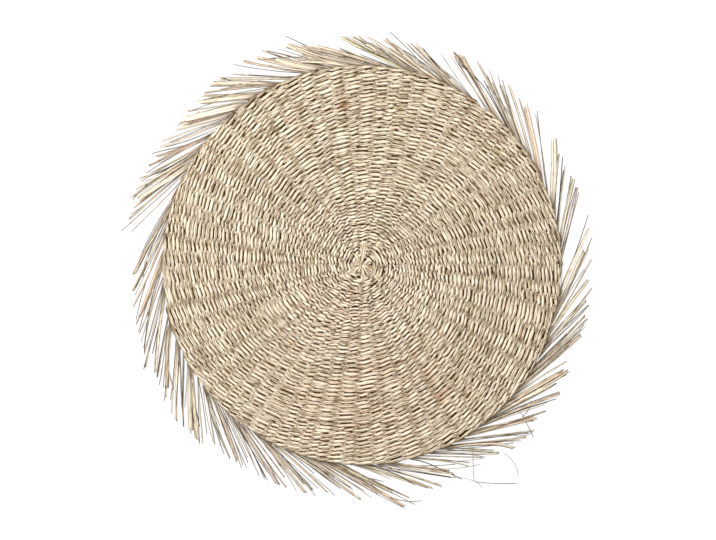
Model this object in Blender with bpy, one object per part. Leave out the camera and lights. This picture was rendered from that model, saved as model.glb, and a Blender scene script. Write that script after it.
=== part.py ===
"""Round placemat of twined seagrass with a swept fringe, lying flat with its underside on z = 0.

Rows of two-strand twining run round and round a sunburst of folded warp stalks. The last row binds the
warps, whose loose ends all sweep anticlockwise, seen from above, and lie on the table as a fringe.

The origin is the disc's centre on its underside, +Z up. A bearing is an angle from +X towards +Y.
"""

import math
from collections import namedtuple

import bmesh
import bpy

MM = 0.001
PIECE_GAP = 0.3 * MM
FACETS = 40

# Weave
INNER_ROWS = 18
INNER_ROW_PITCH = 3.2 * MM
OUTER_ROWS = 34
OUTER_ROW_PITCH = 3.9 * MM
MAT_THICKNESS = 5.4 * MM
ROW_GROOVE = 1.1 * MM

# Fringe strands: creased blades that leave the border at ROOT_LIFT and touch the table after
# TOUCHDOWN_RUN. Their foot is flat, and they are widest at FULL_WIDTH_SHARE of their length.
ROOT_DEPTH = 1.6 * MM
ROOT_LIFT = 1.7 * MM
ROOT_WIDTH = 0.9 * MM
TOUCHDOWN_RUN = 14 * MM
TOUCHDOWN_WIDTH = 1.2 * MM
FULL_WIDTH_SHARE = 0.72
CREASE_HEIGHT_SHARE = 0.6
ROOT_SPACING = 1.4 * MM
TIP_GAP = 0.8 * MM
LENGTH_SHARES = (0.90, 1.0, 0.95, 0.86, 0.93, 0.80)

# Degrees: how far behind its stem a root is buried, the least lean, and the most a tip may move on
ROOT_RUN_BACK = 1.5
LEAST_LEAN = 5
MOST_SHIFT = 2.5

# The border row is parted into arcs at these facet corners, and no root comes this many degrees
# after or before a joint
BORDER_JOINTS = (0, 4, 8, 11, 14, 17, 20, 23, 26, 30, 33, 36)
ROOT_AFTER_JOINT = 2.0
ROOT_BEFORE_JOINT = 0.3

# One row for each tuft, going round. The tip's bearing and the root's lean away from the rim are in
# degrees, and the reach from the centre and the strands' width are in millimetres.
Tuft = namedtuple("Tuft", ("bearing", "reach", "lean", "strands", "width"))
TUFTS = tuple(
    Tuft(*row)
    for row in (
        (8, 221, 9, 4, 1.9),
        (20, 218, 12, 5, 1.5),
        (25, 216, 14, 2, 1.2),
        (32, 219, 14, 5, 1.9),
        (40, 222, 14, 1, 1.1),
        (45, 216, 14, 4, 1.3),
        (51, 219, 14, 5, 1.5),
        (58, 221, 14, 4, 1.5),
        (65, 219, 11, 4, 1.2),
        (69, 215, 10, 1, 1.1),
        (77, 215, 8, 4, 1.4),
        (83, 214, 8, 3, 1.3),
        (89, 213, 8, 3, 1.4),
        (93, 216, 8, 2, 1.2),
        (104, 212, 10, 4, 1.9),
        (111, 220, 15, 3, 1.6),
        (118, 223, 20, 6, 1.6),
        (128, 223, 21, 4, 1.6),
        (134, 222, 21, 3, 2.0),
        (139, 221, 21, 2, 1.1),
        (144, 222, 22, 5, 1.6),
        (150, 223, 22, 3, 1.6),
        (157, 223, 22, 6, 1.7),
        (164, 228, 20, 3, 1.6),
        (168, 223, 17, 1, 1.1),
        (172, 230, 14, 1, 1.1),
        (182, 216, 8, 3, 1.1),
        (188, 221, 10, 3, 1.2),
        (196, 221, 13, 5, 1.8),
        (204, 224, 16, 5, 1.5),
        (212, 226, 20, 5, 1.5),
        (220, 229, 25, 5, 1.7),
        (226, 227, 26, 5, 1.7),
        (231, 221, 24, 4, 1.4),
        (238, 223, 20, 5, 1.3),
        (244, 222, 19, 4, 1.2),
        (250, 222, 16, 4, 1.3),
        (258, 222, 13, 5, 1.6),
        (263, 220, 12, 1, 1.1),
        (270, 221, 12, 5, 1.8),
        (275, 217, 13, 3, 1.5),
        (281, 232, 16, 4, 1.7),
        (288, 224, 15, 4, 1.8),
        (294, 219, 14, 4, 1.8),
        (300, 216, 15, 3, 1.2),
        (308, 221, 18, 5, 1.5),
        (314, 225, 18, 4, 1.5),
        (320, 223, 16, 4, 1.4),
        (325, 222, 13, 3, 1.5),
        (331, 219, 10, 4, 1.9),
        (336, 213, 8, 2, 1.3),
        (346, 221, 8, 5, 1.4),
        (352, 218, 9, 4, 1.7),
        (358, 217, 10, 2, 1.3),
    )
)

WEAVE_COLOUR = (0.56, 0.44, 0.30)
FRINGE_COLOUR = (0.52, 0.42, 0.31)
SEAGRASS_ROUGHNESS = 0.62
SHARP_ANGLE = 50


def row_edges():
    """Radii between neighbouring rows, from the centre out."""
    inner = [row * INNER_ROW_PITCH for row in range(INNER_ROWS + 1)]
    outer = [inner[-1] + row * OUTER_ROW_PITCH for row in range(1, OUTER_ROWS + 1)]
    return inner + outer


WEAVE_RADIUS = row_edges()[-1]
BORDER_INNER = row_edges()[-2]
STEM_RADIUS = WEAVE_RADIUS + ROOT_WIDTH
FACET = 360 / FACETS
GROOVE_TOP = MAT_THICKNESS - ROW_GROOVE


def seagrass(name, colour):
    material = bpy.data.materials.new(name)
    material.use_nodes = True
    surface = material.node_tree.nodes["Principled BSDF"]
    surface.inputs["Base Color"].default_value = (*colour, 1)
    surface.inputs["Roughness"].default_value = SEAGRASS_ROUGHNESS
    surface.inputs["Metallic"].default_value = 0
    return material


def finished_object(name, shape, material):
    """An object of this bmesh, with its faces turned outwards and its round stretches smooth."""
    bmesh.ops.recalc_face_normals(shape, faces=shape.faces)
    mesh = bpy.data.meshes.new(name)
    shape.to_mesh(mesh)
    shape.free()
    mesh.materials.append(material)
    mesh.shade_smooth()
    mesh.set_sharp_from_angle(angle=math.radians(SHARP_ANGLE))
    placed = bpy.data.objects.new(name, mesh)
    bpy.context.scene.collection.objects.link(placed)
    return placed


def same_turn(angle, other):
    """The same direction as the angle, within half a turn of the other."""
    return other + (angle - other + 180) % 360 - 180


def at_bearing(radius, bearing, height):
    turn = math.radians(bearing)
    return (radius * math.cos(turn), radius * math.sin(turn), height)


def woven_disc(material):
    """The weave inside the border row: a turned solid whose top has one rib for each row of twining."""
    edges = row_edges()[:-1]
    profile = [(0, GROOVE_TOP)]
    for inner, outer in zip(edges, edges[1:]):
        profile.append(((inner + outer) / 2, MAT_THICKNESS))
        profile.append((outer, GROOVE_TOP))
    profile += [(edges[-1], 0), (0, 0)]

    shape = bmesh.new()
    corners = [shape.verts.new((radius, 0, height)) for radius, height in profile]
    lines = [shape.edges.new(pair) for pair in zip(corners, corners[1:])]
    bmesh.ops.spin(
        shape,
        geom=corners + lines,
        cent=(0, 0, 0),
        axis=(0, 0, 1),
        angle=2 * math.pi,
        steps=FACETS,
        use_merge=True,
    )
    bmesh.ops.remove_doubles(shape, verts=shape.verts, dist=0.001 * MM)
    return finished_object("woven_disc", shape, material)


def border_arc(first_facet, last_facet):
    """One stretch of the border row: a bevelled strip spun between two facet corners."""
    inner = BORDER_INNER + PIECE_GAP
    shoulder = GROOVE_TOP - ROW_GROOVE
    section = [
        (inner, 0),
        (WEAVE_RADIUS, 0),
        (WEAVE_RADIUS, shoulder),
        ((inner + WEAVE_RADIUS) / 2, MAT_THICKNESS),
        (inner, GROOVE_TOP),
    ]
    half_gap = math.degrees(PIECE_GAP / 2 / BORDER_INNER)
    start = first_facet * FACET + half_gap
    end = last_facet * FACET - half_gap

    shape = bmesh.new()
    corners = [shape.verts.new(at_bearing(radius, start, height)) for radius, height in section]
    face = shape.faces.new(corners)
    bmesh.ops.spin(
        shape,
        geom=[face],
        cent=(0, 0, 0),
        axis=(0, 0, 1),
        angle=math.radians(end - start),
        steps=last_facet - first_facet,
    )
    return shape


def line_through(root, tip, reach):
    """A strand's line, as its distance from the centre and the bearing of its nearest point."""
    stem_x, stem_y, _ = at_bearing(STEM_RADIUS, root, 0)
    tip_x, tip_y, _ = at_bearing(reach, tip, 0)
    run_x = tip_x - stem_x
    run_y = tip_y - stem_y
    distance = (stem_x * run_y - stem_y * run_x) / math.hypot(run_x, run_y)
    return distance, math.degrees(math.atan2(-run_x, run_y))


def bearing_inside(line, radius, gap):
    """Where a point at this radius, ahead on the strand, lies this far on the inner side of its line."""
    distance, nearest = line
    return nearest + math.degrees(math.acos((distance - gap) / radius))


def past_joint(root):
    """The root's bearing, moved on where it would fall on a joint of the border."""
    for joint in BORDER_JOINTS:
        past = same_turn(root, joint * FACET) - joint * FACET
        if -ROOT_BEFORE_JOINT < past < ROOT_AFTER_JOINT:
            return root + ROOT_AFTER_JOINT - past
    return root


def laid_strands():
    """The strands in order round the rim, as (root, tip, reach, width, share of full length).

    Each root is where a straight blade from its tip meets the rim at its tuft's lean. A root or tip that
    would touch the strand before it moves on round the rim, and a strand left with no room is left out.
    """
    strands = []
    before = None
    for tuft in TUFTS:
        reach = tuft.reach * MM
        width = tuft.width * MM
        crossing = math.acos(STEM_RADIUS * math.cos(math.radians(tuft.lean)) / reach)
        step = math.degrees((width + TIP_GAP) / (reach * math.sin(crossing)))
        for place in range(tuft.strands):
            wanted = tuft.bearing + step * (place - (tuft.strands - 1) / 2)
            tip = wanted
            root = tip - math.degrees(crossing) + tuft.lean
            if before:
                line, width_before = before
                apart = (width + width_before) / 2 + TIP_GAP
                tip = max(tip, same_turn(bearing_inside(line, reach, apart), tip))
                root = max(root, same_turn(bearing_inside(line, STEM_RADIUS, ROOT_SPACING), root))
            root = past_joint(root)
            line = line_through(root, tip, reach)
            lean_left = same_turn(root - line[1], tuft.lean)
            if lean_left < LEAST_LEAN or tip - wanted > MOST_SHIFT:
                continue
            share = LENGTH_SHARES[place] if tuft.strands > 1 else 1
            strands.append((root, tip, reach, width, share))
            before = line, width
    return strands


def add_strand(shape, root, tip, reach, width, share):
    """A three-sided blade: foot flat, ridge on top, from inside the border to a point on the table."""
    buried = at_bearing(WEAVE_RADIUS - ROOT_DEPTH, root - ROOT_RUN_BACK, ROOT_LIFT)
    stem = at_bearing(STEM_RADIUS, root, ROOT_LIFT)
    full_tip = at_bearing(reach, tip, 0)
    full_length = math.dist(stem[:2], full_tip[:2])

    def on_table(run):
        return (*(a + (b - a) * run for a, b in zip(stem[:2], full_tip[:2])), 0)

    touchdown = on_table(TOUCHDOWN_RUN / full_length)
    widest = on_table(share * FULL_WIDTH_SHARE)
    point = on_table(share)
    stations = (
        (buried, stem, ROOT_WIDTH),
        (stem, point, ROOT_WIDTH),
        (touchdown, point, TOUCHDOWN_WIDTH),
        (widest, point, width),
    )
    rings = []
    for place, ahead, across in stations:
        step_x = ahead[0] - place[0]
        step_y = ahead[1] - place[1]
        half = across / 2 / math.hypot(step_x, step_y)
        left = (place[0] - step_y * half, place[1] + step_x * half, place[2])
        right = (place[0] + step_y * half, place[1] - step_x * half, place[2])
        ridge = (place[0], place[1], place[2] + across * CREASE_HEIGHT_SHARE)
        rings.append([shape.verts.new(corner) for corner in (left, right, ridge)])
    for ring, farther in zip(rings, rings[1:]):
        for side in range(3):
            after = (side + 1) % 3
            shape.faces.new((ring[side], ring[after], farther[after], farther[side]))
    shape.faces.new(rings[0])
    end = shape.verts.new(point)
    for side in range(3):
        shape.faces.new((rings[-1][side], rings[-1][(side + 1) % 3], end))


def fringe_arc(number, first_facet, last_facet, strands, material):
    """One border arc with its strands fused into it."""
    name = f"fringe_{number:02d}"
    arc = finished_object(name, border_arc(first_facet, last_facet), material)
    blades = bmesh.new()
    for root, tip, reach, width, share in strands:
        if first_facet * FACET < root % 360 < last_facet * FACET:
            add_strand(blades, root, tip, reach, width, share)
    helper = finished_object(f"{name}_strands", blades, material)
    helper.hide_render = True
    helper.display_type = "WIRE"
    fuse = arc.modifiers.new("fuse roots", "BOOLEAN")
    fuse.operation = "UNION"
    fuse.object = helper


def main():
    for old in list(bpy.data.objects):
        bpy.data.objects.remove(old)
    woven_disc(seagrass("twined seagrass", WEAVE_COLOUR))
    fringe_material = seagrass("seagrass blades", FRINGE_COLOUR)
    strands = laid_strands()
    ends = BORDER_JOINTS[1:] + (FACETS,)
    for number, (first, last) in enumerate(zip(BORDER_JOINTS, ends), start=1):
        fringe_arc(number, first, last, strands, fringe_material)


main()
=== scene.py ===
"""The looks of a round seagrass placemat: a disc twined in one spiral, with a fringe swept round it.

Lengths are in metres, but the tables of places are in mm and degrees. The disc's centre is the
origin, on the table, and Z is up. A bearing runs anticlockwise from +X, seen from above, which is
the way that the fringe is swept.
"""

import bpy
import numpy as np
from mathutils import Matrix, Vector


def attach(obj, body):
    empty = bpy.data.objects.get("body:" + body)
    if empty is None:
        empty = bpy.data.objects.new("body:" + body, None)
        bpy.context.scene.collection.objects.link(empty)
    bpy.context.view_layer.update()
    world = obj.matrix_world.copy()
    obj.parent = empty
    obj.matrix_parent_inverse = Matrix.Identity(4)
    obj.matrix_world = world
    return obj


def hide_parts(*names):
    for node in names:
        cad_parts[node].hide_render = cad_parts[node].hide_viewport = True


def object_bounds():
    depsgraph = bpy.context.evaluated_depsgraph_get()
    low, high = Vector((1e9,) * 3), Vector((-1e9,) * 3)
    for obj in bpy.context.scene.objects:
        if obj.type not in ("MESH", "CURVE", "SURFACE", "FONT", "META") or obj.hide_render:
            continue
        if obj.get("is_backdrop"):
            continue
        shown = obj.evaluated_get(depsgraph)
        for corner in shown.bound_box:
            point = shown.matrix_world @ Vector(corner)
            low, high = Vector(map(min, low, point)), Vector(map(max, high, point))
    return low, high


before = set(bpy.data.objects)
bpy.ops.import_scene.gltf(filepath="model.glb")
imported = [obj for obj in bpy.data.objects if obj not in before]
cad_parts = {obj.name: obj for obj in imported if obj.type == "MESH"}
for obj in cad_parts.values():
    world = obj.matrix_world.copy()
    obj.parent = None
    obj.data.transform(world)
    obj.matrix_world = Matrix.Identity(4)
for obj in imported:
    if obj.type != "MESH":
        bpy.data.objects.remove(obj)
cad_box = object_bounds()


# Camera, table and light. The mat lies on a white table and is seen from straight above through a
# long lens, in an even studio light with a soft lamp at the top left.
METRES_PER_PIXEL = 0.95e-3
FRAME_PIXELS = np.array((716, 540))
DISC_CENTRE_PIXEL = np.array((362, 265))
CAMERA_DISTANCE = 1.6
SENSOR_WIDTH = 36
MAT_THICKNESS = 0.0054
LAMP_PLACE = np.array((-1.1, 1.0, 1.3))
LAMP_SIZE = 0.9
LAMP_POWER = 36
SKY_STRENGTH = 0.79
TABLE_SIZE = 3
TABLE_COLOUR = "#888888"
TABLE_ROUGHNESS = 0.8
TABLE_GLOW = 0.775


def linear(colour):
    """The linear red, green, blue and alpha of an sRGB hex colour, by the sRGB standard's curve."""
    srgb = np.array([int(colour[start : start + 2], 16) / 255 for start in (1, 3, 5)])
    light = np.where(srgb <= 0.04045, srgb / 12.92, ((srgb + 0.055) / 1.055) ** 2.4)
    return (*light.tolist(), 1.0)


def add(tree, kind, inputs=None, stops=(), **settings):
    """Adds a shader node with its settings. inputs gives each socket a value or the socket that
    feeds it, and stops are the (place, colour) pairs of a colour ramp."""
    node = tree.nodes.new("ShaderNode" + kind)
    for name, value in settings.items():
        setattr(node, name, value)
    for socket, value in (inputs or {}).items():
        if isinstance(value, bpy.types.NodeSocket):
            tree.links.new(value, node.inputs[socket])
        else:
            node.inputs[socket].default_value = value
    for number, (place, colour) in enumerate(stops):
        ramp = node.color_ramp.elements
        stop = ramp[number] if number < len(ramp) else ramp.new(place)
        stop.position = place
        stop.color = linear(colour)
    return node


def new_material(name):
    """An empty material, as (material, node tree, its principled shader)."""
    material = bpy.data.materials.new(name)
    material.use_nodes = True
    return material, material.node_tree, material.node_tree.nodes["Principled BSDF"]


def placed(name, data):
    """A new object at the origin that shows this camera, lamp or mesh."""
    thing = bpy.data.objects.new(name, data)
    bpy.context.scene.collection.objects.link(thing)
    return thing


camera_data = bpy.data.cameras.new("overhead_camera")
camera_data.sensor_width = SENSOR_WIDTH
camera_data.lens = SENSOR_WIDTH * CAMERA_DISTANCE / (FRAME_PIXELS[0] * METRES_PER_PIXEL)
camera = placed("overhead_camera", camera_data)
off_centre = (FRAME_PIXELS / 2 - DISC_CENTRE_PIXEL) * METRES_PER_PIXEL
camera.location = (off_centre[0], -off_centre[1], MAT_THICKNESS + CAMERA_DISTANCE)
bpy.context.scene.camera = camera

lamp_data = bpy.data.lights.new("soft_lamp", "AREA")
lamp_data.size = LAMP_SIZE
lamp_data.energy = LAMP_POWER
lamp = placed("soft_lamp", lamp_data)
lamp.location = LAMP_PLACE
lamp.rotation_euler = lamp.location.to_track_quat("Z", "Y").to_euler()

sky = bpy.data.worlds.new("studio_sky")
sky.use_nodes = True
sky.node_tree.nodes["Background"].inputs["Strength"].default_value = SKY_STRENGTH
sky.node_tree.nodes["Background"].inputs["Color"].default_value = (1, 1, 1, 1)
bpy.context.scene.world = sky
bpy.context.scene.view_settings.view_transform = "Standard"

# The table top is a sheet of matt acrylic that is lit from beneath, as for catalogue pictures on
# pure white. Its own colour is grey and its glow makes it white, so shadows on it stay faint.
acrylic, _, acrylic_shader = new_material("white_acrylic")
acrylic_shader.inputs["Base Color"].default_value = linear(TABLE_COLOUR)
acrylic_shader.inputs["Roughness"].default_value = TABLE_ROUGHNESS
acrylic_shader.inputs["Emission Color"].default_value = (1, 1, 1, 1)
acrylic_shader.inputs["Emission Strength"].default_value = TABLE_GLOW

table_mesh = bpy.data.meshes.new("table")
half_table = TABLE_SIZE / 2
table_corners = [(x * half_table, y * half_table, 0) for x, y in ((-1, -1), (1, -1), (1, 1), (-1, 1))]
table_mesh.from_pydata(table_corners, [], [(0, 1, 2, 3)])
table_mesh.materials.append(acrylic)
table = placed("table", table_mesh)
table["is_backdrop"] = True


# Twined weft. Two strands of dried seagrass run in one spiral from the centre to the rim and turn
# half round each other between every two warps. Each row so shows one short slanting float a warp.
DISC_RADIUS = 0.1902
ROWS = 52
INNER_ROWS = 18
INNER_ROW_HEIGHT = 0.0032
OUTER_ROW_HEIGHT = 0.0039
END_TAPER = 0.12
FIRST_MEETINGS = (0, 58, 95, 130, 165, 202, 243, 268, 307, 360)
FIRST_SPLIT_RADIUS = 0.018
WIDEST_GAPS = (0.016, 0.023)
GAP_LIMIT_SHARES = (0.58, 1)
FULL_GAP_RADIUS = 0.1
CENTRE_SPAN = 0.045
SPLIT_PLACES = (0.4, 0.6)
GAP_WANDER = 0.0014
MOST_WANDER = 0.25
SHIFT_HEIGHT = 0.00034
FULL_SHIFT = 0.18
RIM_STEADINESS = 6
SHIFT_WAVES = ((5, 0.013, 0.4), (8, 0.021, 2.1), (13, -0.017, 4.0), (29, 0.011, 1.3))
STEPS_PER_FLOAT = 7
SECTION_SIDES = 8
SECTION_SQUARENESS = 0.5
MIDDLE_HEIGHT = MAT_THICKNESS / 2
LIFT = 0.0011
LIFT_SHAPE = 0.75
CENTRE_MORE_LIFT = 0.4
SWING_SHARE = 0.24
LONG_FLOAT = 0.01
LEAST_SWING = 0.8
# The next two are where the two strands meet between warps, and where a strand crosses a warp.
HALF_THICKNESSES = (0.0018, 0.0008)
HALF_WIDTH_SHARES = (0.24, 0.44)
CENTRE_NARROWER = 0.35
FLOAT_SHIFT = 0.00018
CENTRE_FLOAT_SHIFT = 0.00054
RIM_FLOAT_SHIFT = 0.0006
# Painted shade: the weft's colour is darkened where two floats meet, on the flanks that face the slits
# between rows, and past the last row at the rim. The next nine numbers set it.
MEETING_SHADE = 0.2
CENTRE_MORE_SHADE = 0.6
MEETING_SHARPNESS = 2
FLANK_SHADE = 0.85
FLANK_MORE_SHADE = 0.15
CENTRE_PALER_FLANK = 0.6
FLANK_SHARPNESS = 6
RIM_SHADE_START = 0.1886
RIM_SHADE_WIDTH = 0.0016
FOLD_REACH = 0.5
# Painted light and shade in columns from the centre to the rim, as where a thick warp lifts its floats
# into the light and a thin one leaves them in shade.
RAY_PAINTED_LIGHT = 0.09
RAY_WAVES = ((37, 0.6), (53, 2.9), (71, 4.4))
STAINS_AND_PAINTED_LIGHT = np.array(
    (
        # Small stains that stand out, and last five that are wide and faint, whose tone is painted light,
        # lighter at and below the centre and darker at the right, away from the lamp, and whose tint is
        # the leaf's own: place in mm to the right of the centre and above it, radius in mm, more tone,
        # more tint.
        (-18, 152, 6, -0.2, 0.9),
        (6, 157, 4, 0.0, 0.6),
        (104, 159, 4, -0.2, 0.9),
        (82, 78, 5, 0.15, 0.3),
        (59, 30, 4, 0.15, 0.3),
        (64, -106, 6, -0.1, 0.5),
        (74, -126, 6, 0.0, 0.5),
        (129, 107, 6, 0.0, -0.6),
        (-50, 6, 6, 0.0, -0.5),
        (33, 150, 7, 0.0, -0.5),
        (20, 40, 6, 0.05, -0.4),
        (-8, -24, 7, 0.0, 0.4),
        (-17, 81, 2, -0.7, 0.2),
        (-9, 93, 2, -0.6, 0.2),
        (-9, 78, 2, -0.6, 0.2),
        (0, 0, 60, 0.14, 0.0),
        (165, 35, 80, -0.08, 0.0),
        (-10, -135, 90, 0.02, 0.2),
        (-50, -85, 50, 0.07, 0.0),
        (-18, -28, 22, 0.12, 0.1),
    )
)
# From which row up to which each piece of the weft goes. The bare warps fill the first two.
WEFT_BANDS = {
    "weft_centre": (2, 22),
    "weft_inner": (22, 32),
    "weft_middle": (32, 40),
    "weft_outer": (40, 46),
    "weft_rim": (46, 52),
}
chance = np.random.default_rng(41)


def row_edge(rows):
    """How far out that many rows reach, where a part of a row counts: the first rows are finer."""
    finer = np.minimum(rows, INNER_ROWS)
    return finer * INNER_ROW_HEIGHT + (rows - finer) * OUTER_ROW_HEIGHT


def rows_abreast(share):
    """How many rows fill the radius at that share of a round. The spiral adds one in a round, and
    gives it back over the last part of the round, where the end of the weft thins to nothing."""
    return ROWS + np.minimum(share, (1 - share) * (1 - END_TAPER) / END_TAPER)


def shifted(radius, bearing):
    """The radius after the rows have shifted in use: slow waves round and across the mat, added
    up, which die out at the centre and at the rim."""
    out = radius / DISC_RADIUS
    waves = 0
    for turns, length, start in SHIFT_WAVES:
        waves = waves + np.sin(turns * bearing + radius / length + start)
    free_at_centre = np.clip(out / FULL_SHIFT, 0, 1)
    free_at_rim = np.clip(1 - out**RIM_STEADINESS, 0, 1)
    return radius + SHIFT_HEIGHT * waves * free_at_centre * free_at_rim


def float_meetings():
    """For each row, the bearings at which its floats meet. A gap between two warps that has grown
    wider than its limit, which is less near the centre, is split by a new warp. Every meeting
    wanders along its row, by a share of the nearer gap at most, and the spiral's seam stays joined
    from row to row."""
    meetings = []
    seam_wander = 0.0
    line = np.radians(FIRST_MEETINGS)
    limits = chance.uniform(*WIDEST_GAPS, line.size - 1)
    for row in range(ROWS):
        radius = row_edge(row + 0.5)
        gaps = np.diff(line)
        widest = limits * np.clip(radius / FULL_GAP_RADIUS, *GAP_LIMIT_SHARES)
        split = (gaps * radius > widest) & (radius > FIRST_SPLIT_RADIUS)
        new = (line[:-1] + gaps * chance.uniform(*SPLIT_PLACES, gaps.size))[split]
        halves = np.repeat(split, split + 1)
        limits = np.where(halves, chance.uniform(*WIDEST_GAPS, halves.size), np.repeat(limits, split + 1))
        line = np.sort(np.concatenate((line, new)))
        gaps = np.diff(line)
        most = MOST_WANDER * np.minimum(np.append(gaps[0], gaps), np.append(gaps, gaps[-1]))
        wander = np.clip(chance.normal(0, GAP_WANDER, line.size) / radius, -most, most)
        wander[0] = seam_wander
        seam_wander = wander[-1]
        meetings.append(line + wander)
    return meetings


def tubes(name, points, straight, values):
    """A mesh of closed tubes, from points[tube, ring, side]. Each four-sided face joins two
    neighbours of one ring to the same two of the next, and a flat face closes each end. straight is
    where each point would lie if its strand were pulled straight, which the patterns read, and
    values are further numbers per point."""
    tube_count, rings, sides, _ = points.shape
    number = np.arange(tube_count * rings * sides).reshape(tube_count, rings, sides)
    near, far = number[:, :-1], number[:, 1:]
    walls = np.stack((near, far, np.roll(far, -1, 2), np.roll(near, -1, 2)), -1).reshape(-1, 4)
    ends = np.concatenate((number[:, 0], number[:, -1, ::-1]))
    mesh = bpy.data.meshes.new(name)
    mesh.from_pydata(points.reshape(-1, 3), [], walls.tolist() + ends.tolist())
    mesh.polygons.foreach_set("use_smooth", np.arange(len(mesh.polygons)) < len(walls))
    keep_values(mesh, straight, values)
    return placed(name, mesh)


def keep_values(mesh, straight, values):
    """Keeps the pulled-straight place and the further numbers of each point as attributes."""
    place = mesh.attributes.new("straight", "FLOAT_VECTOR", "POINT")
    place.data.foreach_set("vector", straight.astype(np.float32).ravel())
    for key, numbers in values.items():
        kept = mesh.attributes.new(key, "FLOAT", "POINT")
        kept.data.foreach_set("value", numbers.astype(np.float32).ravel())


# Seagrass is a leaf that is dried in the sun until it is pale straw with green and pinkish-brown
# patches. It has long fibres, a dull waxy shine, and painted shade in every hollow of the weave.
# Its fibres are 0.1 to 0.2 mm wide, and are drawn coarser here so that they show.
FIBRE_WIDTH = 0.0009
FIBRE_LENGTH = 0.007
FIBRE_DEPTH = 0.0004
FIBRE_RELIEF = 0.6
FIBRE_NOISE = (0.35, 0.65)
STREAK_TONE = 0.5
LEAF_GLOSS = 0.25
STRAW_TONES = (
    (0.0, "#8a795d"),
    (0.25, "#b5a488"),
    (0.5, "#d3c2a6"),
    (0.75, "#e7d8bf"),
    (1.0, "#f5ead5"),
)
GREEN_PATCH = "#dde0b0"
PINK_PATCH = "#efc9ae"
# Colour of the painted shade in the weave: its slits, the warps under them, the bare warps' flanks and the
# rim's edge.
WEAVE_PAINTED_SHADE = "#6d4d22"
# Colour of the fringe's painted shade at the blades' edges and roots, and of the wisps' and strays' own
# dark.
FRINGE_PAINTED_SHADE_AND_DARK = "#3d2c1c"
# How dark the painted shade along a leaf's fold is, a line of shade in the crease.
FOLD_PAINTED_SHADE = 0.8
FOLD_CORE = 0.25


def seagrass(name, roughness, fold_width, painted_shade_and_dark_power, painted_shade_and_dark_colour):
    """Dried seagrass leaf. Its tone is the strand's own plus streaks along the fibres, and its tint
    is green below zero and pinkish-brown above. The painted shade and own dark of each point, to
    that power and in that colour, darkens it, and so does painted shade along the fold, which fades
    out at its width to each side."""
    material, tree, shader = new_material(name)
    straight = add(tree, "Attribute", attribute_name="straight").outputs["Vector"]
    fibre_scale = (1 / FIBRE_LENGTH, 1 / FIBRE_WIDTH, 1 / FIBRE_WIDTH)
    stretched = add(tree, "Mapping", {"Vector": straight, "Scale": fibre_scale})
    fibres = add(tree, "TexNoise", {"Vector": stretched.outputs[0], "Scale": 1.0, "Detail": 3.0})
    streak_ends = {1: FIBRE_NOISE[0], 2: FIBRE_NOISE[1], 3: -STREAK_TONE, 4: STREAK_TONE}
    streak = add(tree, "MapRange", {0: fibres.outputs["Fac"], **streak_ends}, clamp=False)
    own_tone = add(tree, "Attribute", attribute_name="tone").outputs["Fac"]
    tone = add(tree, "Math", {0: own_tone, 1: streak.outputs[0]}, operation="ADD", use_clamp=True)
    colour = add(tree, "ValToRGB", {"Fac": tone.outputs[0]}, stops=STRAW_TONES).outputs[0]
    tint = add(tree, "Attribute", attribute_name="tint").outputs["Fac"]
    green_share = add(tree, "Math", {0: tint, 1: -1.0}, operation="MULTIPLY", use_clamp=True)
    pink_share = add(tree, "Math", {0: tint, 1: 1.0}, operation="MULTIPLY", use_clamp=True)
    across = add(tree, "SeparateXYZ", {"Vector": straight}).outputs["Y"]
    fold_place = add(tree, "Attribute", attribute_name="fold").outputs["Fac"]
    from_fold = add(tree, "Math", {0: across, 1: fold_place}, operation="SUBTRACT").outputs[0]
    from_fold = add(tree, "Math", {0: from_fold}, operation="ABSOLUTE").outputs[0]
    fold_ends = {1: FOLD_CORE * fold_width, 2: fold_width, 3: FOLD_PAINTED_SHADE, 4: 0.0}
    fold = add(tree, "MapRange", {0: from_fold, **fold_ends}, clamp=True).outputs[0]
    painted_shade_and_dark = add(tree, "Attribute", attribute_name="painted_shade_and_dark").outputs["Fac"]
    painted_shade_and_dark = add(tree, "Math", {0: painted_shade_and_dark, 1: painted_shade_and_dark_power}, operation="POWER").outputs[0]
    painted_shade_and_dark = add(tree, "Math", {0: painted_shade_and_dark, 1: fold}, operation="MAXIMUM").outputs[0]
    for share, patch in (
        (green_share.outputs[0], GREEN_PATCH),
        (pink_share.outputs[0], PINK_PATCH),
        (painted_shade_and_dark, painted_shade_and_dark_colour),
    ):
        layers = {0: share, 6: colour, 7: linear(patch)}
        colour = add(tree, "Mix", layers, data_type="RGBA", blend_type="MULTIPLY").outputs[2]
    tree.links.new(colour, shader.inputs["Base Color"])
    shader.inputs["Roughness"].default_value = roughness
    shader.inputs["Specular IOR Level"].default_value = LEAF_GLOSS
    ridges = {"Height": fibres.outputs["Fac"], "Strength": FIBRE_RELIEF, "Distance": FIBRE_DEPTH}
    tree.links.new(add(tree, "Bump", ridges).outputs[0], shader.inputs["Normal"])
    return material


twined_seagrass = seagrass(
    "twined_seagrass", roughness=0.55, fold_width=0.0006, painted_shade_and_dark_power=1.0, painted_shade_and_dark_colour=WEAVE_PAINTED_SHADE
)

# The floats of each row, and what differs from one float to the next.
FLOAT_TONE = 0.73
TONE_DRIFT, TONE_HOLD, TONE_SPREAD = 0.07, 0.8, 0.1
TINT_DRIFT, TINT_HOLD, TINT_SPREAD = 0.1, 0.85, 0.06
WIDTH_VARIES = 0.12
ROLL_VARIES = 0.16
MOST_SPREADS = 2
DRIFT_MEMORY = 60
meetings = float_meetings()
floats_before = np.concatenate(([0], np.cumsum([line.size - 1 for line in meetings])))
float_count = floats_before[-1] + 2


def scattered():
    """A number for each float of the two strands, by chance, with a spread of one round zero."""
    return chance.normal(0, 1, (2, float_count))


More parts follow.
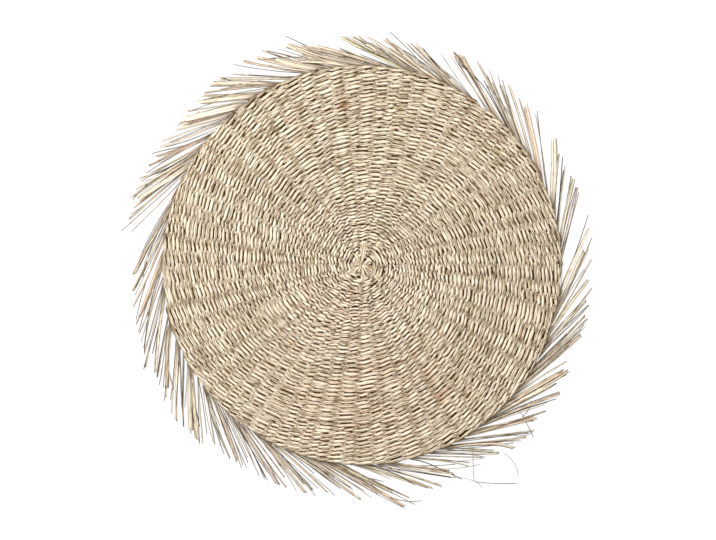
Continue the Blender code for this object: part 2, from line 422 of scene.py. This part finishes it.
def drifting(hold):
    """A number for each float that keeps a share hold of the number before it and takes the rest
    by chance, with a spread of one round zero."""
    steps = chance.normal(0, 1, (2, float_count + DRIFT_MEMORY))
    reach = hold ** np.arange(DRIFT_MEMORY)
    kept = np.array([np.convolve(strand, reach, "full")[DRIFT_MEMORY:][:float_count] for strand in steps])
    return kept * np.sqrt(1 - hold**2)


float_tone = FLOAT_TONE + TONE_DRIFT * drifting(TONE_HOLD) + TONE_SPREAD * scattered()
float_tint = TINT_DRIFT * drifting(TINT_HOLD) + TINT_SPREAD * scattered()
float_width = 1 + WIDTH_VARIES * np.clip(scattered(), -MOST_SPREADS, MOST_SPREADS)
float_fold = chance.uniform(-1, 1, (2, float_count))
float_shift = np.clip(scattered(), -MOST_SPREADS, MOST_SPREADS)
float_roll = ROLL_VARIES * np.clip(scattered(), -MOST_SPREADS, MOST_SPREADS)


def of_floats(values, strand, half_turns):
    """Each sample's value: its own float's, and where two floats of the strand meet, their mean."""
    here = np.floor(half_turns).astype(int)
    before = np.where(half_turns == here, np.maximum(here - 1, 0), here)
    return (values[strand][here] + values[strand][before]) / 2


def patches(middle, bearing):
    """How much tone and tint the stains and the painted light add at each place of the rows. Each
    patch fades out from its centre as a bell curve, and the tone also has columns of painted light
    and shade from the centre to the rim, which are waves round the mat, added up."""
    patch_x, patch_y, patch_radius, more_tone, more_tint = STAINS_AND_PAINTED_LIGHT.T[..., None]
    off_x = 1000 * middle * np.cos(bearing) - patch_x
    off_y = 1000 * middle * np.sin(bearing) - patch_y
    patch_weight = np.exp(-(off_x**2 + off_y**2) / patch_radius**2)
    painted_columns = RAY_PAINTED_LIGHT * sum(np.sin(turns * bearing + start) for turns, start in RAY_WAVES)
    return (more_tone * patch_weight).sum(0) + painted_columns, (more_tint * patch_weight).sum(0)


def twined(first, last):
    """The two strands of the rows from first up to last, as points, straight places and values.

    A strand's phase grows by half a turn a float. Its cosine swings the strand outwards and back
    across the row, and its sine, drawn towards one, lifts it over the warp and then under it. The
    section is an ellipse with flattened sides that is widest where the strand crosses a warp. Each
    float is also moved across its row, turned about its length and made wider or narrower by
    chance. Painted shade is high on the strand's flanks, where two floats meet, and past the last
    row: the colour is darkened there for the shade in the slits and at the rim's edge."""
    bearings, rounds, half_turns, lengths = [], [], [], []
    for row in range(first, last):
        line = meetings[row]
        steps = np.arange((line.size - 1) * STEPS_PER_FLOAT) / STEPS_PER_FLOAT
        bearings.append(np.interp(steps, np.arange(line.size), line))
        rounds.append(row + bearings[-1] / (2 * np.pi))
        half_turns.append(steps + floats_before[row])
        lengths.append(np.repeat(np.diff(line), STEPS_PER_FLOAT) * row_edge(row + 0.5))
    bearing = np.append(np.concatenate(bearings), meetings[last - 1][-1])
    rows_in = np.append(np.concatenate(rounds), last - 1 + bearing[-1] / (2 * np.pi))
    half_turn = np.append(np.concatenate(half_turns), floats_before[last])

    length = np.append(np.concatenate(lengths), lengths[-1][-1])
    swing_share = SWING_SHARE * np.clip(length / LONG_FLOAT, LEAST_SWING, 1)

    share = np.mod(bearing / (2 * np.pi), 1)
    abreast = row_edge(rows_abreast(share))
    inner = DISC_RADIUS * row_edge(rows_in) / abreast
    outer = DISC_RADIUS * np.minimum(row_edge(rows_in + 1) / abreast, 1)
    room = outer - inner
    middle = (outer + inner) / 2
    along = np.append(0, np.cumsum(middle[1:] * np.abs(np.diff(rows_in)) * 2 * np.pi))

    side = 2 * np.pi * np.arange(SECTION_SIDES) / SECTION_SIDES
    flat_side = np.sign(np.cos(side)) * np.abs(np.cos(side)) ** SECTION_SQUARENESS
    flat_top = np.sign(np.sin(side)) * np.abs(np.sin(side)) ** SECTION_SQUARENESS
    inwards = np.clip(1 - middle / CENTRE_SPAN, 0, 1)
    lift = LIFT * (1 + CENTRE_MORE_LIFT * inwards)
    shift = FLOAT_SHIFT + (CENTRE_FLOAT_SHIFT - FLOAT_SHIFT) * inwards
    shift = np.where(middle > DISC_RADIUS - OUTER_ROW_HEIGHT, RIM_FLOAT_SHIFT, shift)
    meeting_width = HALF_WIDTH_SHARES[0] * (1 - CENTRE_NARROWER * inwards)
    meeting_shade = MEETING_SHADE + CENTRE_MORE_SHADE * inwards
    flank = np.abs(np.cos(side)) ** FLANK_SHARPNESS
    more_tone, more_tint = patches(middle, bearing)
    turned = bearing[:, None] + 0 * side
    points, straight, tone, tint, painted_shade_and_dark, fold = [], [], [], [], [], []
    for strand in range(2):
        phase = np.pi * (half_turn + strand)
        swing = np.cos(phase)
        rise = np.sin(phase)
        cover = np.abs(rise)
        width = meeting_width + (HALF_WIDTH_SHARES[1] - meeting_width) * cover
        width = room * width * of_floats(float_width, strand, half_turn)
        thickness = HALF_THICKNESSES[0] + (HALF_THICKNESSES[1] - HALF_THICKNESSES[0]) * cover
        thickness = thickness * np.minimum(room / INNER_ROW_HEIGHT, 1)
        roll = of_floats(float_roll, strand, half_turn)[:, None]
        across = width[:, None] * flat_side
        upward = thickness[:, None] * flat_top
        radius = (middle + swing * swing_share * room)[:, None]
        radius = shifted(radius + across * np.cos(roll) - upward * np.sin(roll), bearing[:, None])
        radius = radius + (shift * of_floats(float_shift, strand, half_turn))[:, None]
        height = MIDDLE_HEIGHT + (lift * np.sign(rise) * cover**LIFT_SHAPE)[:, None]
        height = np.maximum(height + across * np.sin(roll) + upward * np.cos(roll), 0)
        points.append(np.stack((radius * np.cos(turned), radius * np.sin(turned), height), -1))
        straight.append(np.stack((along[:, None] + strand + 0 * side, across, upward), -1))
        tone.append((of_floats(float_tone, strand, half_turn) + more_tone)[:, None] + 0 * side)
        tint.append((of_floats(float_tint, strand, half_turn) + more_tint)[:, None] + 0 * side)
        fold_place = FOLD_REACH * room * of_floats(float_fold, strand, half_turn)
        fold.append(fold_place[:, None] + 0 * side)
        # Painted shade where two floats meet, on the flanks facing the slits, and past the rim.
        painted_meeting_shade = meeting_shade * (1 - cover) ** MEETING_SHARPNESS
        flank_shade = (FLANK_SHADE + FLANK_MORE_SHADE * cover) * (1 - CENTRE_PALER_FLANK * inwards)
        painted_rim_shade = np.clip((radius - RIM_SHADE_START) / RIM_SHADE_WIDTH, 0, 1)
        painted_shade_and_dark.append(np.maximum(painted_meeting_shade[:, None] + flank_shade[:, None] * flank, painted_rim_shade))
    values = {
        "tone": np.array(tone),
        "tint": np.array(tint),
        "painted_shade_and_dark": np.clip(np.array(painted_shade_and_dark), 0, 1),
        "fold": np.array(fold),
    }
    return np.array(points), np.array(straight), values


for name, (first, last) in WEFT_BANDS.items():
    band = tubes(name, *twined(first, last))
    band.data.materials.append(twined_seagrass)
    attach(band, "root")
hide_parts("woven_disc")


# Warps. The layer that the weft is twined round is bundles of the same leaf that fan out from the
# centre and lie side by side, thick in the middle and thin where they meet. Its low tone and full
# darkening are painted shade, for the dark under the weft that shows in the slits.
WARP_RINGS = 40
WARP_STEPS = 320
WARP_HALF_THICKNESS = (0.00015, 0.00055)
WARP_EDGE = 0.1885
WARP_SHADED_TONE = 0.1


def warp_layer(name):
    """A closed disc with a rib for each warp, from two grids of rings round the centre. The half
    thickness follows half a sine wave from one meeting of the floats to the next."""
    ring_radius = np.linspace(0, WARP_EDGE, WARP_RINGS + 1)[1:]
    bearing = 2 * np.pi * np.arange(WARP_STEPS) / WARP_STEPS
    ribs = []
    for radius in ring_radius:
        line = meetings[int(np.argmax(row_edge(np.arange(1, ROWS + 1)) >= radius))]
        ribs.append(np.abs(np.sin(np.pi * np.interp(bearing, line, np.arange(line.size)))))
    half = WARP_HALF_THICKNESS[0] + (WARP_HALF_THICKNESS[1] - WARP_HALF_THICKNESS[0]) * np.array(ribs)
    radius = shifted(ring_radius[:, None], bearing)
    flat = np.stack((radius * np.cos(bearing), radius * np.sin(bearing), 0 * radius), -1)
    upright = np.array((0, 0, 1))
    upper = flat + (MIDDLE_HEIGHT + half)[..., None] * upright
    lower = flat + (MIDDLE_HEIGHT - half)[..., None] * upright
    poles = np.array((MIDDLE_HEIGHT + half.min(), MIDDLE_HEIGHT - half.min()))[:, None] * upright
    places = np.concatenate((upper.reshape(-1, 3), lower.reshape(-1, 3), poles))

    top = np.arange(WARP_RINGS * WARP_STEPS).reshape(WARP_RINGS, WARP_STEPS)
    below = top + top.size
    shell = np.concatenate((top, below[::-1]))
    ahead = np.roll(shell, -1, 1)
    walls = np.stack((shell[:-1], shell[1:], ahead[1:], ahead[:-1]), -1).reshape(-1, 4)
    pole = 2 * top.size
    upper_fan = np.stack((np.full(WARP_STEPS, pole), top[0], np.roll(top[0], -1)), -1)
    lower_fan = np.stack((np.full(WARP_STEPS, pole + 1), np.roll(below[0], -1), below[0]), -1)
    mesh = bpy.data.meshes.new(name)
    mesh.from_pydata(places, [], walls.tolist() + upper_fan.tolist() + lower_fan.tolist())
    mesh.polygons.foreach_set("use_smooth", np.ones(len(mesh.polygons), bool))
    outward = np.linalg.norm(places[:, :2], axis=1)
    turned = np.arctan2(places[:, 1], places[:, 0])
    straight = np.stack((outward, WARP_EDGE * turned, places[:, 2]), -1)
    full = np.ones(len(places))
    # The whole layer is darkened with painted shade.
    keep_values(mesh, straight, {"tone": WARP_SHADED_TONE * full, "tint": 0 * full, "painted_shade_and_dark": full, "fold": full})
    return placed(name, mesh)


warps = warp_layer("warps")
warps.data.materials.append(twined_seagrass)
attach(warps, "root")


# Start of the mat. The first ten warps are wedges of folded leaf that meet at the centre, and the
# weft begins round them. Three more stand as high as the weft further out and show between its
# rows. They show on both faces.
BARE_WARPS = np.array(
    (
        # bearing, start and end in mm from the centre, width at each in mm, tone, tint
        (25, 0.5, 9, 1.4, 8.5, 0.6, 0.1),
        (84, 1.5, 23, 2.0, 11, 0.6, 0.18),
        (118, 0.5, 13, 1.0, 7, 0.5, -0.1),
        (150, 0.5, 8, 1.0, 6, 0.56, 0.0),
        (184, 0.5, 10, 1.0, 6.5, 0.46, -0.2),
        (212, 0.5, 16, 1.2, 9, 0.62, -0.1),
        (248, 0.5, 8, 1.0, 5.5, 0.48, 0.1),
        (276, 0.5, 17, 1.0, 8, 0.6, 0.1),
        (309, 0.5, 13, 1.2, 6, 0.5, 0.0),
        (340, 0.5, 12, 1.4, 8.5, 0.5, 0.35),
        (50, 21, 29, 5, 9, 0.6, -0.4),
        (321, 15, 23, 4, 7, 0.6, -0.2),
        (262, 19, 27, 4, 7, 0.55, 0.2),
    )
)
BARE_RINGS = 7
BARE_HALF_THICKNESS = 0.0011
BARE_DEPTH = 0.0001
BARE_END = 0.08
BARE_END_SHAPE = 0.4
BARE_FLANK_SHADE = 0.9
BARE_FOLD_SHARE = 0.25


def bare_warps(name):
    """A radial blade for each row of the table on the mat's upper side, and again on its lower
    side. Its width grows evenly from its start to its end, and its section is an ellipse. Both ends
    dip below the weft along half a sine wave."""
    bearing, start, end, start_width, end_width, tone, tint = BARE_WARPS.T[..., None, None]
    part = np.linspace(0, 1, BARE_RINGS)[:, None]
    side = 2 * np.pi * np.arange(SECTION_SIDES) / SECTION_SIDES
    arch = np.sin(np.pi * (BARE_END + (1 - 2 * BARE_END) * part)) ** BARE_END_SHAPE
    half_width = (start_width + (end_width - start_width) * part) / 2 / 1000
    across = half_width * arch * np.cos(side)
    radius = (start + (end - start) * part) / 1000 + 0 * side
    upward = BARE_HALF_THICKNESS * np.sin(side) * arch + 0 * radius
    outward = np.radians(bearing)
    x = radius * np.cos(outward) - across * np.sin(outward)
    y = radius * np.sin(outward) + across * np.cos(outward)
    off_middle = MIDDLE_HEIGHT - BARE_DEPTH - BARE_HALF_THICKNESS * (2 - arch)
    upper = np.stack((x, y, MIDDLE_HEIGHT + off_middle + upward), -1)
    lower = np.stack((x, y, MIDDLE_HEIGHT - off_middle + upward), -1)
    straight = np.stack((radius + bearing, across, upward), -1)
    fold = BARE_FOLD_SHARE * (end_width - start_width) * part / 1000 * np.sign(np.sin(bearing))
    # Painted shade on the flanks, which draws dark lines between the blades.
    painted_shade_and_dark = BARE_FLANK_SHADE * np.abs(np.cos(side)) ** FLANK_SHARPNESS
    values = {"tone": tone, "tint": tint, "painted_shade_and_dark": painted_shade_and_dark, "fold": fold}
    for key, numbers in values.items():
        values[key] = np.tile(np.broadcast_to(numbers, radius.shape), (2, 1, 1))
    points = np.concatenate((upper, lower))
    straight = np.concatenate((straight, straight))
    return tubes(name, points[:, ::-1], straight[:, ::-1], values)


star = bare_warps("bare_warps")
star.data.materials.append(twined_seagrass)
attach(star, "root")


# Fringe. The ends of the warps come out from under the last row, are swept round the mat by hand
# and lie on the table. They are flat leaf blades with a fold along them, cut or torn at the tip.
TUFTS = np.array(
    (
        # bearing of the tip, reach in mm, lean at the root in degrees, strands, width in mm
        (8, 221, 9, 4, 3.0),
        (20, 218, 12, 3, 1.3),
        (25, 216, 14, 2, 1.2),
        (32, 219, 14, 2, 2.4),
        (40, 222, 14, 1, 1.1),
        (45, 216, 14, 2, 1.7),
        (52, 219, 14, 3, 2.4),
        (58, 221, 14, 4, 1.9),
        (65, 219, 11, 7, 1.3),
        (69, 215, 10, 1, 1.1),
        (77, 215, 8, 6, 1.4),
        (80, 205, 6, 4, 1.5),
        (83, 214, 8, 5, 1.3),
        (86, 206, 7, 5, 1.7),
        (89, 213, 8, 5, 1.4),
        (93, 216, 8, 4, 1.2),
        (97, 207, 8, 5, 1.7),
        (104, 214, 10, 6, 1.9),
        (107, 205, 9, 3, 1.6),
        (111, 221, 15, 6, 1.8),
        (118, 224, 20, 6, 2.2),
        (128, 223, 21, 4, 2.2),
        (134, 222, 21, 3, 2.2),
        (139, 221, 21, 2, 1.2),
        (144, 222, 22, 3, 2.4),
        (150, 223, 22, 3, 2.4),
        (157, 223, 22, 5, 1.9),
        (164, 230, 20, 4, 2.1),
        (168, 228, 17, 3, 1.4),
        (172, 228, 14, 1, 1.0),
        (182, 216, 8, 3, 1.1),
        (188, 221, 10, 3, 1.2),
        (196, 221, 13, 4, 1.5),
        (204, 226, 16, 5, 1.2),
        (212, 227, 20, 6, 1.7),
        (220, 229, 25, 5, 1.6),
        (226, 227, 26, 5, 1.5),
        (231, 221, 24, 3, 1.0),
        (238, 223, 20, 5, 1.0),
        (244, 222, 19, 4, 1.2),
        (250, 222, 16, 4, 1.3),
        (258, 222, 13, 5, 1.6),
        (263, 220, 12, 1, 1.1),
        (270, 221, 12, 5, 1.8),
        (275, 217, 13, 3, 1.5),
        (281, 232, 16, 4, 1.7),
        (288, 224, 15, 4, 1.8),
        (294, 219, 14, 3, 1.3),
        (300, 216, 15, 3, 1.2),
        (308, 221, 18, 5, 1.5),
        (314, 225, 18, 4, 2.0),
        (320, 223, 16, 3, 1.8),
        (325, 222, 13, 3, 1.5),
        (331, 219, 10, 4, 1.9),
        (336, 213, 8, 2, 1.3),
        (346, 221, 8, 5, 1.7),
        (352, 218, 9, 4, 2.1),
        (358, 217, 10, 2, 2.4),
    )
)
STRAYS = np.array(
    (
        # start, middle and end in mm to the right of the centre and above it, and the width
        (152.6, -144.0, 158.6, -154.0, 163.3, -164.4, 0.78),
        (161.1, -129.2, 158.6, -138.1, 152.6, -144.0, 0.65),
        (150.1, -140.6, 153.4, -143.4, 156.8, -147.3, 0.52),
        (105.5, -173.8, 106.0, -190.0, 106.9, -206.0, 0.52),
        (106.9, -206.0, 120.0, -207.8, 147.5, -208.1, 0.65),
        (89.0, -201.7, 106.9, -206.0, 115.3, -213.1, 0.455),
        (132.3, -177.1, 144.5, -188.0, 148.8, -201.7, 0.455),
        (65.3, -185.6, 90.0, -186.8, 117.0, -183.9, 0.455),
        (82.3, -194.1, 97.0, -193.0, 112.8, -189.8, 0.455),
        (120.5, -167.8, 124.5, -170.0, 128.1, -172.9, 0.52),
        (-154.9, 146.8, -158.4, 142.0, -161.5, 136.5, 0.585),
        (-161.5, 140.8, -159.2, 141.6, -156.9, 141.6, 0.455),
        (-106.4, 161.1, -133.6, 156.9, -164.9, 145.9, 0.65),
        (-115.0, 153.5, -145.4, 147.6, -175.9, 132.6, 0.715),
        (-110.0, 150.0, -140.0, 144.5, -168.0, 131.5, 0.65),
        (-183.5, 57.4, -198.6, 31.9, -217.4, -6.3, 0.65),
        (-48.9, -199.1, -32.8, -212.8, -26.0, -219.8, 0.65),
        (6.3, -206.0, 28.3, -222.1, 56.3, -224.6, 0.65),
        (170.0, -118.0, 178.0, -117.0, 186.0, -112.0, 0.52),
        (140.0, -160.0, 150.0, -163.0, 160.0, -161.0, 0.52),
    )
)
BLADE_STATIONS = np.array((0, 0.03, 0.07, 0.12, 0.19, 0.3, 0.45, 0.6, 0.75, 0.88, 0.96, 1))
BLADE_SIDES = 6
BLADE_HALF_THICKNESS = 0.0002
ROOT_RADIUS = 0.187
ROOT_HEIGHT = 0.0026
LANDING = 0.009
LEAST_LEAN = 4
KINKED_SHARE = 0.25
KINK_STATIONS = (0.4, 0.9)
ROOT_WIDTH_SHARE = 0.6
FULL_WIDTH_STATION = 0.25
TIP_WIDTH_SHARE = 0.88
TIP_STATION = 0.95
TIP_SLANT = 1.3
TIP_RISE = 0.0004
TIP_DARKER = 0.12
FOLD_SLOPES = (0.05, 0.35)
FOLD_OFF_MIDDLE = 0.3
ROLL_SPREAD = 0.3
TWIST_SPREAD = 0.5
BLADE_TINT, BLADE_TINT_SPREAD = 0.12, 0.2
# Painted shade: the blades' edges, and their roots under the rim over the first share of their length, are
# darkened.
EDGE_SHADE, EDGE_SHADE_SPREAD = 0.9, 0.3
SHADED_ROOT = 0.35
# Painted light: the fringe is a little lighter towards the lamp at the top left, darker opposite.
PAINTED_LIGHT_BEARING = 135
LAMP_SIDE_PAINTED_LIGHT = 0.1


def spread_tufts(blades_per_strand, spread):
    """The tufts' rows, each repeated for its blades, whose tips are spread by chance over that
    share of the way to the next tufts."""
    gaps = np.diff(TUFTS[:, 0], append=TUFTS[0, 0] + 360)
    territory = (gaps + np.roll(gaps, 1)) / 2
    counts = np.maximum(np.round(TUFTS[:, 3] * blades_per_strand).astype(int), 1)
    rows = np.repeat(TUFTS, counts, axis=0)
    order = np.arange(len(rows)) - np.repeat(np.cumsum(counts) - counts, counts)
    place = (order + chance.uniform(0, 1, len(rows))) / np.repeat(counts, counts)
    rows[:, 0] += (2 * place - 1) * spread * np.repeat(territory, counts) / 2
    return rows


def swept_paths(rows, shares, lean_spread, curl):
    """The way of each blade over the table, as places[blade, station, x and y].

    A straight blade that leaves the rim with a lean stays on a line whose distance from the centre
    is the root's radius times the lean's cosine, and it meets its reach where that over the reach
    is the cosine of the lean there. The blade is then curled evenly by chance, and some blades are
    kinked at one station. shares is how much of its way each blade covers."""
    count = len(rows)
    reach = rows[:, 1] / 1000
    lean = np.radians(np.maximum(rows[:, 2] + lean_spread * chance.normal(0, 1, count), LEAST_LEAN))
    line = ROOT_RADIUS * np.cos(lean)
    root = np.radians(rows[:, 0]) - np.arccos(line / reach) + lean
    length = (np.sqrt(reach**2 - line**2) - np.sqrt(ROOT_RADIUS**2 - line**2)) * shares
    bend = curl * chance.normal(0, 1, count)[:, None] * (BLADE_STATIONS - 0.5)
    kinked = chance.uniform(0, 1, count) < KINKED_SHARE
    kink = curl * chance.normal(0, 1, count) * kinked
    bend = bend + kink[:, None] * (BLADE_STATIONS > chance.uniform(*KINK_STATIONS, count)[:, None])
    heading = (root + np.pi / 2 - lean)[:, None] + bend
    steps = np.diff(BLADE_STATIONS) * length[:, None]
    middle = (heading[:, 1:] + heading[:, :-1]) / 2
    steps = steps[..., None] * np.stack((np.cos(middle), np.sin(middle)), -1)
    start = ROOT_RADIUS * np.stack((np.cos(root), np.sin(root)), -1)[:, None]
    return np.concatenate((start, start + np.cumsum(steps, axis=1)), axis=1)


def laid_blades(name, path, widths, tone, shade, stack):
    """Flat blades along these ways. The section is a thin lens, folded up at its edges, that turns
    evenly along the blade and is cut off at a slant at the tip. A blade falls in a smooth step from
    the rim to the table over the landing, or on others up to the height of the stack, and its tip
    rises with the cube of the way along it. Its edges and its root under the rim are darkened with
    painted shade, and the rest has the darkness given, which is the thread's own."""
    count = len(path)
    steps = np.diff(path, axis=1)
    ahead = np.concatenate((steps[:, :1], steps[:, 1:] + steps[:, :-1], steps[:, -1:]), axis=1)
    ahead /= np.linalg.norm(ahead, axis=2, keepdims=True)
    outward = np.stack((ahead[..., 1], -ahead[..., 0]), -1)
    lengths = np.cumsum(np.linalg.norm(steps, axis=2), axis=1)
    station = np.concatenate((np.zeros((count, 1)), lengths), axis=1)

    side = 2 * np.pi * np.arange(BLADE_SIDES) / BLADE_SIDES
    opened = np.clip(BLADE_STATIONS / FULL_WIDTH_STATION, 0, 1)
    opening = ROOT_WIDTH_SHARE + (1 - ROOT_WIDTH_SHARE) * opened
    narrowing = np.where(BLADE_STATIONS > TIP_STATION, TIP_WIDTH_SHARE, 1.0)
    half_width = (widths / 2)[:, None] * opening * narrowing
    fold = chance.uniform(*FOLD_SLOPES, count)[:, None, None]
    roll = chance.normal(0, ROLL_SPREAD, count)[:, None]
    twist = chance.normal(0, TWIST_SPREAD, count)[:, None]
    turn = (roll + twist * BLADE_STATIONS)[..., None]
    flat_across = half_width[..., None] * np.cos(side)
    flat_upward = BLADE_HALF_THICKNESS * np.sin(side) + fold * np.abs(flat_across)
    across = flat_across * np.cos(turn) - flat_upward * np.sin(turn)
    upward = flat_across * np.sin(turn) + flat_upward * np.cos(turn)

    fallen = np.clip((np.linalg.norm(path, axis=2) - ROOT_RADIUS) / LANDING, 0, 1)
    fallen = fallen**2 * (3 - 2 * fallen)
    stacked = chance.uniform(0, stack, count)[:, None]
    tip_rise = TIP_RISE * chance.exponential(1, count)[:, None]
    rest = stacked + tip_rise * BLADE_STATIONS**3
    height = ((1 - fallen) * ROOT_HEIGHT + fallen * rest)[..., None] + upward
    height = height - np.minimum(height.min(axis=2, keepdims=True), 0)

    at_tip = (BLADE_STATIONS == BLADE_STATIONS[-1])[:, None]
    slant = chance.uniform(-TIP_SLANT, TIP_SLANT, count)[:, None, None] * at_tip
    level = path[:, :, None] + outward[:, :, None] * across[..., None]
    level = level + ahead[:, :, None] * (slant * flat_across)[..., None]
    points = np.concatenate((level, height[..., None]), -1)

    shape = points.shape[:3]
    own = np.arange(count)[:, None, None]
    straight = (station[..., None] + own, flat_across, flat_upward)
    straight = np.stack([np.broadcast_to(numbers, shape) for numbers in straight], -1)
    tint = BLADE_TINT + BLADE_TINT_SPREAD * chance.normal(0, 1, count)
    # Painted shade along the edges and over the root under the rim.
    painted_edge_shades = np.clip(chance.normal(EDGE_SHADE, EDGE_SHADE_SPREAD, (2, count)), 0, 1)[..., None]
    painted_edge_shade = np.where(np.cos(side) > 0, painted_edge_shades[0], painted_edge_shades[1]) * np.isclose(np.abs(np.cos(side)), 1)
    painted_root_shade = (1 - np.clip(BLADE_STATIONS / SHADED_ROOT, 0, 1))[:, None]
    fold_place = widths * chance.uniform(-FOLD_OFF_MIDDLE, FOLD_OFF_MIDDLE, count)
    values = {
        "tone": tone[:, None, None] - TIP_DARKER * BLADE_STATIONS[:, None] ** 2,
        "tint": tint[:, None, None],
        "painted_shade_and_dark": np.maximum(np.maximum(painted_root_shade, painted_edge_shade[:, None]), shade[:, None, None]),
        "fold": fold_place[:, None, None],
    }
    values = {key: np.broadcast_to(numbers, shape) for key, numbers in values.items()}
    return tubes(name, points, straight, values)


def painted_lamp_light(rows):
    """Painted light: a little more tone towards the lamp's side of the mat, at the top left, and less
    opposite.
    """
    return LAMP_SIDE_PAINTED_LIGHT * np.cos(np.radians(rows[:, 0] - PAINTED_LIGHT_BEARING))


# The same leaf where it hangs free and has bleached. Its dark edges and its roots under the rim
# are painted shade, and the dark of the wisps and strays is their own.
fringe_seagrass = seagrass(
    "fringe_seagrass", roughness=0.5, fold_width=0.0004, painted_shade_and_dark_power=0.85, painted_shade_and_dark_colour=FRINGE_PAINTED_SHADE_AND_DARK
)

# Blades are the split leaves of the fringe, pale and flat, some of them broad.
BLADES_PER_STRAND = 1.05
BLADE_LENGTH, BLADE_SHORTER = 1.06, 0.12
BLADE_WIDTH_TIMES = (0.65, 1.4)
BROAD_SHARE = 0.3
BROAD_TIMES = 2.2
BLADE_TONE, BLADE_TONE_SPREAD = 0.98, 0.17
blade_rows = spread_tufts(BLADES_PER_STRAND, spread=0.75)
blade_count = len(blade_rows)
blade_shares = BLADE_LENGTH - np.abs(chance.normal(0, BLADE_SHORTER, blade_count))
blade_paths = swept_paths(blade_rows, blade_shares, lean_spread=3.0, curl=0.12)
broader = np.where(chance.uniform(0, 1, blade_count) < BROAD_SHARE, BROAD_TIMES, 1)
blade_widths = blade_rows[:, 4] / 1000 * chance.uniform(*BLADE_WIDTH_TIMES, blade_count) * broader
blade_tone = BLADE_TONE + BLADE_TONE_SPREAD * chance.normal(0, 1, blade_count)
blade_tone = blade_tone + painted_lamp_light(blade_rows)
no_shade = np.zeros(blade_count)
blades = laid_blades("fringe_blades", blade_paths, blade_widths, blade_tone, no_shade, stack=0.0004)

# Wisps are threads that have split off the leaves, thin, dark and curled, and lie among the blades.
WISPS_PER_STRAND = 0.7
WISP_LENGTH, WISP_SHORTER = 1.07, 0.2
WISP_WIDTHS = (0.0006, 0.001)
WISP_TONE, WISP_TONE_SPREAD = 0.3, 0.3
WISP_SHADES = (0.3, 1.0)
wisp_rows = spread_tufts(WISPS_PER_STRAND, spread=1.0)
wisp_count = len(wisp_rows)
wisp_shares = WISP_LENGTH - np.abs(chance.normal(0, WISP_SHORTER, wisp_count))
wisp_paths = swept_paths(wisp_rows, wisp_shares, lean_spread=4.0, curl=0.18)
wisp_widths = chance.uniform(*WISP_WIDTHS, wisp_count)
wisp_tone = WISP_TONE + WISP_TONE_SPREAD * chance.normal(0, 1, wisp_count)
wisp_tone = wisp_tone + painted_lamp_light(wisp_rows)
wisp_shade = chance.uniform(*WISP_SHADES, wisp_count)
wisps = laid_blades("fringe_wisps", wisp_paths, wisp_widths, wisp_tone, wisp_shade, stack=0.0008)

# Strays are single threads that lie clear of the fringe. Each is a quadratic curve through its
# start, its middle and its end.
STRAY_TONES = (0.1, 0.5)
STRAY_SHADES = (0.5, 0.8)
start, middle, end = STRAYS[:, None, 0:2], STRAYS[:, None, 2:4], STRAYS[:, None, 4:6]
part = BLADE_STATIONS[:, None]
stray_paths = start * (1 - part) * (1 - 2 * part) + 4 * middle * part * (1 - part)
stray_paths = (stray_paths + end * part * (2 * part - 1)) / 1000
stray_widths = STRAYS[:, 6] / 1000
stray_tone = chance.uniform(*STRAY_TONES, len(STRAYS))
stray_shade = chance.uniform(*STRAY_SHADES, len(STRAYS))
strays = laid_blades("fringe_strays", stray_paths, stray_widths, stray_tone, stray_shade, stack=0.0004)

fringe_nodes = sorted(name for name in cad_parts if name.startswith("fringe"))
for piece in (blades, wisps, strays):
    piece.data.materials.append(fringe_seagrass)
    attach(piece, "root")
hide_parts(*fringe_nodes)

boxes = {"cad": cad_box, "visual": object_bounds()}
boxes = {key: [list(map(float, corner)) for corner in box] for key, box in boxes.items()}
